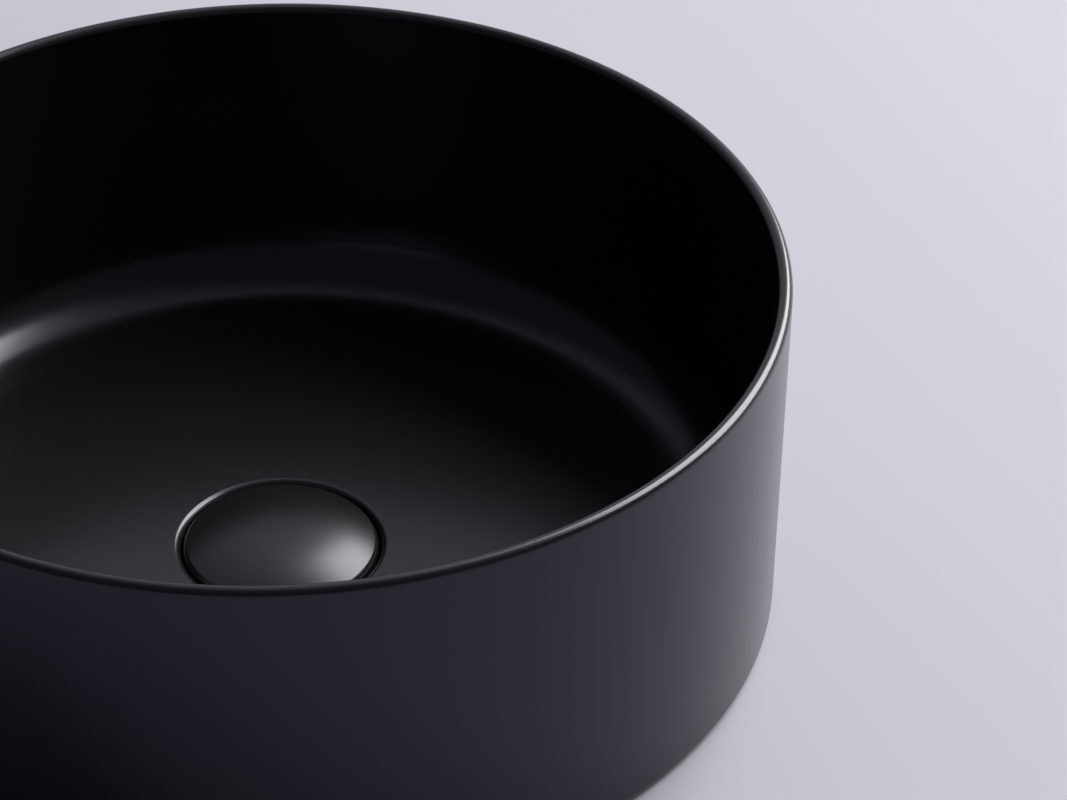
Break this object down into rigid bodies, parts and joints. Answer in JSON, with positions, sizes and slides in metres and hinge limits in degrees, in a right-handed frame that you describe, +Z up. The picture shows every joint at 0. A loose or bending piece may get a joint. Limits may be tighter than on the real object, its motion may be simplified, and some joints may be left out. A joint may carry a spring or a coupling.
{
  "type": "countertop wash basin",
  "caption": "Round straight-sided ceramic vessel basin for a worktop, with a thin rounded rim, a central recess and a push-to-close waste under a domed cap.",
  "frame": {"origin": "on the basin's axis, in the plane of the foot ring, which is the worktop's top surface", "axes": "+Z up along the basin's axis. The basin is round, so +X and +Y are free; the spider's arms stand at 45 degrees to them"},
  "size_m": [0.36, 0.3598, 0.203],
  "materials": {
    "bowl_glaze": "satin black glaze",
    "cap_glaze": "satin black glaze, a little glossier than the bowl",
    "turned_brass": "turned, unplated",
    "chromed_brass": "chromium plated",
    "plug_rubber": "moulded, matt",
    "seal_rubber": "moulded, matt",
    "foam_rubber": "closed-cell foam",
    "rotor_plastic": "moulded acetal",
    "cartridge_plastic": "moulded acetal",
    "guide_plastic": "moulded acetal",
    "washer_plastic": "polyethylene",
    "spring_steel": "drawn stainless wire"
  },
  "bodies": {
    "basin": {"basin_bowl": "bowl_glaze", "flange_seal": "foam_rubber", "waste_body": "chromed_brass", "lower_seal": "seal_rubber", "slip_washer": "washer_plastic", "back_nut": "turned_brass", "cartridge_gasket": "seal_rubber", "cartridge_housing": "cartridge_plastic", "cartridge_cap": "guide_plastic", "rod_seal": "seal_rubber", "click_spring": "spring_steel"},
    "plug": {"cap_cover": "cap_glaze", "cap_plate": "turned_brass", "plug_seal": "plug_rubber", "cap_locknut": "turned_brass", "push_rod": "turned_brass"},
    "rotor": {"ratchet_rotor": "rotor_plastic"}
  },
  "joints": [
    {"name": "plug_slide", "type": "slide", "parent": "basin", "child": "plug", "axis": [0, 0, 1], "range_m": [0, 0.009], "deforming": ["click_spring"]},
    {"name": "rotor_index", "type": "hinge", "parent": "plug", "child": "rotor", "pos_m": [0, 0, -0.027], "axis": [0, 0, 1], "range_deg": [0, 45]}
  ],
  "couplings": [
    {"joint": "rotor_index", "follows": "plug_slide", "rad_per_m": 87.266}
  ]
}
